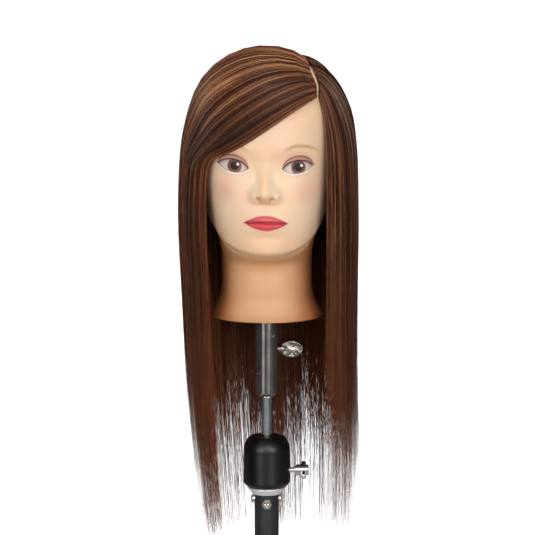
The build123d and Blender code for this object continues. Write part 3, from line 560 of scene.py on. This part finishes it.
def make_eye(name, side, material):
    """One painted eye: a fine patch that lies on the face inside the lids."""
    s, v = np.meshgrid(np.linspace(0.0, 1.0, 190), np.linspace(0.0, 1.0, 110))
    x = side * (EYE_INNER + EYE_LENGTH * s) + EYE_MIDDLE_X
    _, upper, lower, _ = eye_curves(x)
    high = lower - 0.2 + (upper - lower + 0.5) * v
    z = high - FACE_TILT * x
    y = front_y(x, z) - 0.14
    iris_x = (x - side * IRIS_X - IRIS_SHIFT).ravel()
    iris_z = (high - EYE_Z - IRIS_LIFT).ravel()
    radius = np.hypot(iris_x, iris_z)
    angle = np.arctan2(iris_z, iris_x)
    below_lid = (upper - high).ravel()
    above_lid = (high - lower).ravel()
    corner = np.clip(1 - 4 * s * (1 - s), 0, 1).ravel()
    colours = np.tile(srgb("e2d0c4"), (radius.size, 1))
    # painted shade: the sclera darkened towards both corners of the eye
    colours = blend(colours, srgb("8a6660"), 0.8 * corner ** 1.4)
    colours = blend(colours, srgb("6e4c49"), 0.7 * smooth_step(IRIS_R + 0.5, IRIS_R - 0.2, radius))
    rays = 0.5 + 0.5 * np.sin(23 * angle + 2.0 * np.sin(5 * angle))
    iris = smooth_step(IRIS_R, IRIS_R - 0.8, radius)
    colours = blend(colours, srgb("70432f"), iris)
    colours = blend(colours, srgb("3a241f"), iris * (0.25 + 0.35 * rays) * smooth_step(7.0, 4.0, radius))
    colours = blend(colours, srgb("a07055"), iris * 0.35 * smooth_step(1.5, -4.5, iris_z))
    colours = blend(colours, srgb("100a09"), smooth_step(PUPIL_R + 0.4, PUPIL_R - 0.5, radius))
    # painted shade: the top of the eye darkened under the upper lid
    colours = blend(colours, srgb("5a3c3a"), 0.9 * smooth_step(4.4, 0.0, below_lid))
    colours = blend(colours, srgb("452825"), 0.85 * smooth_step(1.1, 0.3, below_lid))
    colours = blend(colours, srgb("8a6462"), 0.6 * smooth_step(0.8, 0.3, above_lid))
    # painted highlight: a fixed white catch-light on each iris
    painted_highlight = np.hypot(iris_x - 3.2, iris_z - 1.8)
    colours = blend(colours, np.array([1.0, 1.0, 1.0]), smooth_step(1.6, 1.0, painted_highlight))
    points = np.stack([x, y, z], -1).reshape(-1, 3)
    faces = grid_faces(*s.shape)
    if side < 0:
        faces = faces[:, ::-1]
    piece = mesh_piece(name, points, faces, material, colours=colours)
    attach(piece, "head")


# ---- hair ---------------------------------------------------------------------------------

# The outside of the hair: a rounded dome down to its widest level, and a fall below that.
HAIR_TURN_Z = 400.0
DOME = np.array([90.0, 97.5, 119.5])
DOME_CENTRE = np.array([2.0, 4.5, HAIR_TURN_Z])
DOME_POWER = 2.3
# Centre x, centre y, half width and half depth of the hair below the widest level.
FALL_Z = np.array([15, 40, 66, 95, 172, 263, 324, 370, 400])
FALL_X = np.array([11, 11.5, 12, 10.5, 4.5, 3.5, 1.5, 1.5, 2.0])
FALL_Y = np.array([10, 11, 12, 14, 14, 14, 10, 6, 4.5])
FALL_HALF = np.array([78, 80.5, 83.5, 86.5, 87, 89, 92, 92, 90.0])
FALL_DEPTH = np.array([72, 76, 79, 82, 84, 84, 88, 94, 97.5])
# Edges of the face between the curtains (x), how thick the hair is, how deep its roots lie and
# the air between strands and skin.
FACE_EDGE_LEFT = -58.5
FACE_EDGE_RIGHT = 59.0
HAIR_THICK = 14.0
ROOT_DEPTH = 5.0
SKIN_AIR = 0.9
# Where the painted shade on the sweep is darkest (x, z), how steeply that patch rises to +X,
# and its length, width and strength.
SHADE_CENTRE = (-30.0, 443.0)
EDGE_SLOPE = np.radians(32)
SHADE_LENGTH = 40
SHADE_WIDTH = 12
SHADE_AMOUNT = 0.62
# Colours of strands from darkest to palest, where each lies in the range, and their contrast.
STRAND_TONES = ("120602", "43200f", "7c4427", "cf946a")
TONE_PLACES = (0.0, 0.36, 0.66, 1.0)
TONE_CONTRAST = 2.1
# Colour that the ends fade to, the spread of each ribbon's turn about itself, and its taper.
END_TONE = "8f4a2e"
TWIST = 0.22
TAPER = 0.75
STRANDS = 4700
CLUMP_SIZE = 8
STRAND_WIDTHS = (0.25, 0.5)
STEPS_DOME = 12
STEPS_FALL = 9
BEND_PASSES = 4
# Share of the strands that end below each height (mm), at the sides and at the back.
END_SHARE = np.array([0, 0.01, 0.02, 0.045, 0.075, 0.18, 0.3, 0.6, 1.0])
END_SIDES = np.array([17, 22, 28, 42, 80, 128, 160, 204, 275])
END_BACK = np.array([17, 19, 22, 40, 96, 142, 170, 207, 280])
LOWEST_END = 16
HIGHEST_END = 330
# Angles from +X toward the back that each side's hair reaches; the two overlap there.
BACK_LEFT = np.radians(82)
BACK_RIGHT = np.radians(99)


def on_dome(directions, depth):
    """Points of the crown's outer shape in unit directions, sunk by a depth."""
    flat = np.hypot(directions[..., 0], directions[..., 1])
    size = (flat ** DOME_POWER + np.abs(directions[..., 2]) ** DOME_POWER) ** (-1 / DOME_POWER)
    return DOME_CENTRE + directions * size[..., None] * (DOME - depth[..., None])


def to_direction(point):
    """Unit direction that on_dome takes to a point on the scalp's side of the hair."""
    q = (np.asarray(point, dtype=float) - DOME_CENTRE) / (DOME - ROOT_DEPTH)
    return q / np.linalg.norm(q)


def unit(vectors):
    """The same directions with length 1."""
    return vectors / np.linalg.norm(vectors, axis=-1, keepdims=True)


def falling(turn, z, depth):
    """Points of the curtain's outer shape at an angle and height, sunk by a depth."""
    x = np.interp(z, FALL_Z, FALL_X) + (np.interp(z, FALL_Z, FALL_HALF) - depth) * np.cos(turn)
    y = np.interp(z, FALL_Z, FALL_Y) + (np.interp(z, FALL_Z, FALL_DEPTH) - depth) * np.sin(turn)
    return np.stack([x, y, z], -1)


def slerp(a, b, t):
    """Along the great circle from a to b."""
    cosine = np.clip((a * b).sum(-1, keepdims=True), -1, 1)
    angle = np.arccos(cosine)
    sine = np.maximum(np.sin(angle), 1e-4)
    return (np.sin((1 - t) * angle) * a + np.sin(t * angle) * b) / sine


# The parting, from the front hairline over the crown to the whorl.
PART_LINE = np.stack([to_direction(point) for point in (
    (47.3, -50.0, 475.4),
    (48.6, -35.5, 488.8),
    (46.5, -24.5, 496.8),
    (44.6, -17.5, 500.5),
    (41.5, 0.0, 505.4),
    (36.0, 15.0, 507.6),
    (28.0, 32.0, 506.5),
    (18.0, 45.0, 503.0),
)])
PART_PLACES = np.array([0.0, 0.10, 0.20, 0.30, 0.42, 0.60, 0.80, 1.0])


def part_line(s):
    """Unit directions along the parting, from the hairline (0) to the whorl (1)."""
    return unit(np.stack([np.interp(s, PART_PLACES, PART_LINE[:, i]) for i in range(3)], -1))


def off_the_skin(points, depth):
    """Move points that would lie in the head out over its skin, the deeper strands nearest."""
    x, y, z = points[..., 0], points[..., 1], points[..., 2]
    rho = np.hypot(x, y)
    turn = np.arctan2(x, -y)
    skin = head_radius(turn, np.clip(z, NECK_BASE, SKULL_TOP - 3))
    bulge = np.clip(face_relief(x, z), 0, 4) * smooth_step(0.0, 0.35, np.cos(turn))
    floor = skin + bulge + SKIN_AIR + 0.22 * (HAIR_THICK - depth)
    wanted = smooth_max(rho, floor, 1.0)
    blend_in = smooth_step(SKULL_TOP - 6, SKULL_TOP - 20, z) * smooth_step(NECK_BASE + 60, NECK_BASE + 90, z)
    scale = 1 + (wanted / np.maximum(rho, 1) - 1) * blend_in
    return np.stack([x * scale, y * scale, z], -1)


# Random values along the parting, finer and coarser, for the locks of each side.
LOCKS = {side: (rng.random(330), rng.random(90), rng.random(28)) for side in (-1, 1)}


def locks(s, side, *weights):
    """Weighted sum of the smooth random values at s, each from 0 to 1."""
    total = 0.0
    for weight, values in zip(weights, LOCKS[side]):
        total = total + weight * np.interp(s, np.linspace(0, 1, len(values)), values)
    return total


def end_heights(count, turn):
    """Heights where strands end: a dense mass with ever fewer strands further down."""
    u = rng.random(count)
    sides = np.interp(u, END_SHARE, END_SIDES)
    back = np.interp(u, END_SHARE, END_BACK)
    behind = smooth_step(0.0, 0.6, np.sin(turn))
    return sides * (1 - behind) + back * behind


def strand_paths(count, side, reach, depth_range):
    """Paths of strands from the parting down one side, their place along it, depth and painted shade.

    side is -1 for the sweep across the forehead to the viewer's left, +1 for the other. reach is
    the range along the parting that they start from.
    """
    clumps = count // CLUMP_SIZE
    member = rng.integers(0, clumps, count)
    size = np.maximum(np.bincount(member, minlength=clumps), 1)
    clump_s = rng.uniform(*reach, clumps)
    clump_depth = depth_range[0] + (depth_range[1] - depth_range[0]) * rng.random(clumps) ** 1.4
    s = np.clip(np.abs(clump_s[member] + rng.normal(0, 0.006, count)), 0.0, 1.0)
    depth = np.clip(clump_depth[member] + rng.uniform(-0.3, 0.3, count), 0.2, None)
    depth = depth + locks(s, side, 0.0, 0.9, 1.1)
    start = part_line(s)
    turned = s ** 0.85
    loose = 0.26 * locks(s, side, 0.0, 0.3, 0.7)
    if side < 0:
        edge = np.pi + np.arccos((DOME_CENTRE[0] - FACE_EDGE_LEFT) / (DOME[0] - depth))
        turn = edge + (BACK_LEFT - edge) * turned
        front = 1 - smooth_step(0.0, 0.12, s)
        end_rise = 0.13 * front + loose * (1 - front)
        mid_place = 0.60
        mid_drop = 0.03 + 0.31 * (1 - smooth_step(0.0, 0.8, s))
    else:
        edge = -np.arccos((FACE_EDGE_RIGHT - DOME_CENTRE[0]) / (DOME[0] - depth))
        turn = edge + (BACK_RIGHT - edge) * turned
        end_rise = loose
        mid_place = 0.5
        mid_drop = np.zeros(count)
    equator = unit(np.stack([np.cos(turn), np.sin(turn), end_rise], -1))
    middle = slerp(start, equator, mid_place)
    middle[..., 2] -= mid_drop
    middle = unit(middle)
    gap = 0.008 + 0.012 * smooth_step(0.40, 0.05, s)
    from_part = gap + np.abs(rng.normal(0, 0.012, count))
    under = (depth > 5.0) & (rng.random(count) < 0.6)
    t0 = np.where(under, rng.uniform(0.0, 0.8, count), from_part)
    t0 = np.clip(t0, gap, np.where(under, 0.8, 0.7 / STEPS_DOME))
    wobble = rng.normal(0, 0.003, (count, 2))
    phase = rng.uniform(0, 2 * np.pi, count)
    points = []
    for i in range(STEPS_DOME):
        on_grid = i / STEPS_DOME if i else t0
        t = np.where(under, t0 + (1 - t0) * (i / STEPS_DOME), on_grid)[:, None]
        direction = slerp(slerp(start, middle, t), slerp(middle, equator, t), t)
        direction[..., 0] += wobble[:, 0] * np.sin(3.0 * t[:, 0] + phase) * t[:, 0]
        direction[..., 1] += wobble[:, 1] * np.sin(3.0 * t[:, 0] + phase) * t[:, 0]
        direction = unit(direction)
        rooted = np.exp(-(t[:, 0] - t0) / 0.10)
        points.append(on_dome(direction, depth + (ROOT_DEPTH - depth) * rooted))
    fall_top = on_dome(equator, depth)[:, 2]
    clump_turn = np.bincount(member, turn, clumps) / size
    clump_end = end_heights(clumps, clump_turn)[member]
    own_end = end_heights(count, turn)
    end = np.where(rng.random(count) < 0.8, own_end, clump_end + rng.normal(0, 10, count))
    end = np.clip(end, LOWEST_END, HIGHEST_END)
    clump_phase = rng.uniform(0, 2 * np.pi, clumps)[member]
    clump_wave = rng.uniform(0.2, 1.2, clumps)[member]
    drift = rng.normal(0, 0.012, clumps)[member] + rng.normal(0, 0.030, count)
    own_phase = rng.uniform(0, 2 * np.pi, count)
    for i in range(STEPS_FALL + 1):
        t = (i / STEPS_FALL) ** 1.5
        z = fall_top + (end - fall_top) * t
        gather = 0.2 * smooth_step(0.2, 0.6, t)
        angle = turn + (clump_turn[member] - turn) * gather + drift * t ** 1.5
        angle = angle + 0.006 * clump_wave * np.sin(clump_phase + z / 38.0) * min(1, 3 * t)
        angle = angle + 0.004 * np.sin(own_phase + z / 24.0) * min(1, 3 * t)
        sunk = depth + (clump_depth[member] - depth) * gather
        sunk = sunk + 0.4 * clump_wave * (np.sin(clump_phase * 1.7 + z / 46.0) + 1) * t
        points.append(falling(angle, z, sunk))
    paths = np.stack(points, 1)
    step = np.arange(1, paths.shape[1] - 1)
    bend = 0.5 * smooth_step(STEPS_DOME - 5, STEPS_DOME - 2, step)[:, None]
    for _ in range(BEND_PASSES):
        between = 0.5 * (paths[:, :-2] + paths[:, 2:])
        paths[:, 1:-1] += bend * (between - paths[:, 1:-1])
    # painted shade: the front strands of the left sweep darker, where the fringe turns under
    shade = 1 - 0.55 * (side < 0) * smooth_step(0.15, 0.02, s)
    return off_the_skin(paths, depth[:, None]), s, depth, shade


def ribbons(name, paths, colours, width, material, node):
    """Flat tapering ribbons along paths, facing outwards, each turned a little about itself."""
    count, steps, _ = paths.shape
    tangent = unit(np.gradient(paths, axis=1) + 1e-9)
    outward = paths - DOME_CENTRE
    outward[..., 2] = np.clip(outward[..., 2], 0, None)
    across = unit(np.cross(tangent, outward) + 1e-9)
    normal = np.cross(across, tangent)
    twist = rng.normal(0, TWIST, count)[:, None, None]
    across = across * np.cos(twist) + normal * np.sin(twist)
    along_strand = np.linspace(0, 1, steps)[None, :, None]
    half = 0.5 * width[:, None, None] * (1 - TAPER * along_strand ** 2)
    points = np.stack([paths - across * half, paths + across * half], 2).reshape(-1, 3)
    base = (np.arange(count) * steps * 2)[:, None]
    k = np.arange(steps - 1)[None, :] * 2
    faces = np.stack([base + k, base + k + 1, base + k + 3, base + k + 2], -1).reshape(-1, 4)
    # ends thin out to a paler red-brown
    tip = np.tile(np.repeat(np.linspace(0, 1, steps) ** 8, 2), count)
    thin = np.maximum(0.6 * tip, 0.45 * smooth_step(250, 80, points[:, 2]))[:, None]
    shade = np.repeat(colours, 2 * steps, axis=0) * (1 - thin) + srgb(END_TONE) * thin
    # painted shade: the sweep is darkest where it turns under beside the forehead
    right, up = points[:, 0] - SHADE_CENTRE[0], points[:, 2] - SHADE_CENTRE[1]
    along_edge = right * np.cos(EDGE_SLOPE) + up * np.sin(EDGE_SLOPE)
    over_edge = up * np.cos(EDGE_SLOPE) - right * np.sin(EDGE_SLOPE)
    dim = np.exp(-(along_edge / SHADE_LENGTH) ** 2 - (over_edge / SHADE_WIDTH) ** 2)
    dim = dim * smooth_step(0, -20, points[:, 1])
    shade = shade * (1 - SHADE_AMOUNT * dim)[:, None]
    piece = mesh_piece(name, points, faces, material, colours=shade)
    if node:
        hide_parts(node)
    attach(piece, "head")


def hair_material():
    """Brown hair whose colour comes from the strands, with a slow cloud over it."""
    material, nodes, links, shader = node_material("brown_hair")
    paint = nodes.new("ShaderNodeAttribute")
    paint.attribute_name = "paint"
    cloud = noise_field(nodes, links, 24.0, detail=2.0)
    tint = nodes.new("ShaderNodeMix")
    tint.data_type = "RGBA"
    tint.blend_type = "MULTIPLY"
    tint.inputs["Factor"].default_value = 0.6
    links.new(paint.outputs["Color"], tint.inputs["A"])
    links.new(ramp(nodes, links, cloud, [(0.3, (0.7, 0.66, 0.64)), (0.7, (1, 1, 1))]), tint.inputs["B"])
    links.new(tint.outputs["Result"], shader.inputs["Base Color"])
    links.new(spread(nodes, links, cloud, 0.40, 0.56), shader.inputs["Roughness"])
    shader.inputs["Specular IOR Level"].default_value = 0.22
    shader.inputs["Specular Tint"].default_value = (1.0, 0.82, 0.74, 1.0)
    return material


def strand_colours(s, side, depth):
    """Dark brown strands with lighter red-brown ones among them, alike within a lock."""
    tone = locks(s, side, 0.32, 0.14, 0.08) + 0.46 * rng.random(len(s))
    tone = np.clip(0.5 + TONE_CONTRAST * (tone - 0.5), 0, 1)
    stops = np.stack([srgb(code) for code in STRAND_TONES])
    colours = np.stack([np.interp(tone, TONE_PLACES, stops[:, i]) for i in range(3)], -1)
    if side < 0:
        # painted light: the left sweep painted up to 1.6 times lighter over the crown and side, less so
        # towards the back
        brightness = 1.0 + 0.6 * smooth_step(0.08, 0.3, s) - 0.4 * smooth_step(0.45, 0.8, s)
        edge = smooth_step(0.06, 0.01, s)[:, None]
        colours = colours * brightness[:, None] * (1 + edge * np.array([0.35, 0.0, -0.15]))
    else:
        colours = 0.8 * colours
    # painted shade: deeper strands darker, as if shaded by the hair above them
    return colours * (1.0 - 0.5 * np.clip(depth / HAIR_THICK, 0, 1))[:, None]


def make_hair():
    """Eleven groups of strands, each of its own section of the hair."""
    material = hair_material()
    # name, side, reach along the parting, strand depths and the CAD node it stands for
    groups = [
        ("hair_fringe_strands", -1, (0.0, 0.12), (0.3, 7.0), "hair_fringe"),
        ("hair_left_front", -1, (0.0, 0.22), (0.3, HAIR_THICK), "hair_left"),
        ("hair_left_side", -1, (0.20, 0.42), (0.3, HAIR_THICK), "hair_crown"),
        ("hair_left_back", -1, (0.40, 0.62), (0.3, HAIR_THICK), "hair_back_left"),
        ("hair_left_behind", -1, (0.60, 0.82), (0.3, HAIR_THICK), None),
        ("hair_left_nape", -1, (0.80, 1.0), (0.3, HAIR_THICK), None),
        ("hair_right_front", 1, (0.0, 0.22), (0.3, HAIR_THICK), "hair_right"),
        ("hair_right_side", 1, (0.20, 0.42), (0.3, HAIR_THICK), "hair_part_side"),
        ("hair_right_back", 1, (0.40, 0.62), (0.3, HAIR_THICK), "hair_back_right"),
        ("hair_right_behind", 1, (0.60, 0.82), (0.3, HAIR_THICK), None),
        ("hair_right_nape", 1, (0.80, 1.0), (0.3, HAIR_THICK), None),
    ]
    for name, side, reach, depths, node in groups:
        paths, s, depth, shade = strand_paths(STRANDS, side, reach, depths)
        width = rng.uniform(*STRAND_WIDTHS, STRANDS)
        colours = strand_colours(s, side, depth) * shade[:, None]
        ribbons(name, paths, colours, width, material, node)


# ---- studio -------------------------------------------------------------------------------

def area_light(name, place, size, power):
    """A round soft light, aimed at the middle of the head."""
    data = bpy.data.lights.new(name, "AREA")
    data.shape = "DISK"
    data.size = size
    data.energy = power
    lamp = bpy.data.objects.new(name, data)
    lamp.location = place
    aim(lamp, LAMP_TARGET)
    bpy.context.scene.collection.objects.link(lamp)


def aim(thing, target):
    """Turn a light or the camera to look at a point."""
    direction = Vector(target) - thing.location
    thing.rotation_mode = "QUATERNION"
    thing.rotation_quaternion = direction.to_track_quat("-Z", "Y")


# Width of the view at the head, in metres.
VIEW_WIDTH = 0.535
# Brightness round the studio by share of a turn: 0.5 is ahead of the face, 0 and 1 behind it.
WALLS = [
    (0.0, 0.10), (0.12, 0.35), (0.22, 0.60), (0.28, 0.30), (0.36, 0.12), (0.385, 1.1),
    (0.42, 0.9), (0.455, 0.06), (0.50, 0.22), (0.55, 0.7), (0.58, 0.55), (0.61, 0.05),
    (0.66, 0.35), (0.75, 0.6), (0.82, 0.30), (0.90, 0.12), (1.0, 0.10),
]
FLOOR_GLOW = 0.5
# Floor, backdrop ring, camera and lamps, in metres.
FLOOR_HALF = 60.0
BACKDROP_R = 20.0
BACKDROP_SIDES = 64
BACKDROP_HEIGHTS = (-1.0, 12.0)
CAMERA_ELEVATION = math.radians(9.0)
CAMERA_DISTANCE = 6.0
CAMERA_TARGET = (0.0008, 0.0, 0.296)
LAMP_TARGET = (0.0, 0.0, 0.33)


def studio_walls(tree):
    """Light from all round: paler and darker upright bands, and an even glow from below."""
    nodes, links = tree.nodes, tree.links
    background = nodes["Background"]
    place = nodes.new("ShaderNodeTexCoord")
    parts = nodes.new("ShaderNodeSeparateXYZ")
    links.new(place.outputs["Generated"], parts.inputs["Vector"])
    ahead = nodes.new("ShaderNodeMath")
    ahead.operation = "MULTIPLY"
    ahead.inputs[1].default_value = -1.0
    links.new(parts.outputs["Y"], ahead.inputs[0])
    angle = nodes.new("ShaderNodeMath")
    angle.operation = "ARCTAN2"
    links.new(parts.outputs["X"], angle.inputs[0])
    links.new(ahead.outputs["Value"], angle.inputs[1])
    share = nodes.new("ShaderNodeMapRange")
    share.inputs["From Min"].default_value = -math.pi
    share.inputs["From Max"].default_value = math.pi
    links.new(angle.outputs["Value"], share.inputs["Value"])
    bands = ramp(nodes, links, share.outputs["Result"], [(at, (v, v, v)) for at, v in WALLS])
    below = nodes.new("ShaderNodeMapRange")
    below.inputs["From Min"].default_value = -0.25
    below.inputs["From Max"].default_value = -0.45
    links.new(parts.outputs["Z"], below.inputs["Value"])
    mixed = nodes.new("ShaderNodeMix")
    mixed.data_type = "RGBA"
    mixed.inputs["B"].default_value = (FLOOR_GLOW, FLOOR_GLOW, FLOOR_GLOW, 1.0)
    links.new(below.outputs["Result"], mixed.inputs["Factor"])
    links.new(bands, mixed.inputs["A"])
    links.new(mixed.outputs["Result"], background.inputs["Color"])
    background.inputs["Strength"].default_value = 0.7


def studio():
    """World, floor, backdrop, lights and camera."""
    scene = bpy.context.scene
    world = bpy.data.worlds.new("studio_world")
    world.use_nodes = True
    studio_walls(world.node_tree)
    scene.world = world
    floor_mesh = bpy.data.meshes.new("floor")
    half = FLOOR_HALF
    corners = [(-half, -half, 0), (half, -half, 0), (half, half, 0), (-half, half, 0)]
    floor_mesh.from_pydata(corners, [], [(0, 1, 2, 3)])
    material, _, _, shader = node_material("pale_floor")
    shader.inputs["Base Color"].default_value = (0.9, 0.9, 0.9, 1)
    shader.inputs["Roughness"].default_value = 0.9
    shader.inputs["Emission Color"].default_value = (1, 1, 1, 1)
    shader.inputs["Emission Strength"].default_value = 1.0
    floor_mesh.materials.append(material)
    floor = bpy.data.objects.new("floor", floor_mesh)
    floor.location = (0, 0, -0.002)
    floor.visible_diffuse = False
    floor.visible_glossy = False
    scene.collection.objects.link(floor)
    # A pale ring far around the scene, so that a low view sees no dark horizon.
    ring = np.linspace(0, 2 * np.pi, BACKDROP_SIDES + 1)[:-1]
    x, y = BACKDROP_R * np.cos(ring), BACKDROP_R * np.sin(ring)
    rings = [np.stack([x, y, np.full(BACKDROP_SIDES, z)], -1) for z in BACKDROP_HEIGHTS]
    faces = grid_faces(2, BACKDROP_SIDES, closed=True)
    backdrop = mesh_piece("backdrop", np.concatenate(rings) / MM, faces, material)
    backdrop.visible_diffuse = False
    backdrop.visible_glossy = False
    backdrop.visible_shadow = False
    area_light("key", (0.1, -2.1, 1.0), 1.3, 13)
    area_light("fill_left", (-1.05, -1.95, 0.5), 1.2, 14)
    area_light("fill_right", (1.05, -1.95, 0.5), 1.2, 16)
    area_light("top", (0.0, 0.1, 1.95), 0.8, 12)
    area_light("rim_left", (-1.2, 1.0, 0.9), 0.7, 5)
    area_light("rim_right", (1.2, 1.0, 0.9), 0.7, 5)
    camera_data = bpy.data.cameras.new("camera")
    camera_data.sensor_width = 36.0
    camera_data.lens = camera_data.sensor_width * CAMERA_DISTANCE / VIEW_WIDTH
    camera_data.clip_end = 200.0
    camera = bpy.data.objects.new("camera", camera_data)
    camera.location = (
        CAMERA_TARGET[0],
        CAMERA_TARGET[1] - CAMERA_DISTANCE * math.cos(CAMERA_ELEVATION),
        CAMERA_TARGET[2] + CAMERA_DISTANCE * math.sin(CAMERA_ELEVATION),
    )
    aim(camera, CAMERA_TARGET)
    scene.collection.objects.link(camera)
    scene.camera = camera
    scene.view_settings.view_transform = "Standard"


dress_cad()
make_head()
eye_paint = eye_material()
make_eye("eye_left", -1, eye_paint)
make_eye("eye_right", 1, eye_paint)
make_hair()
studio()
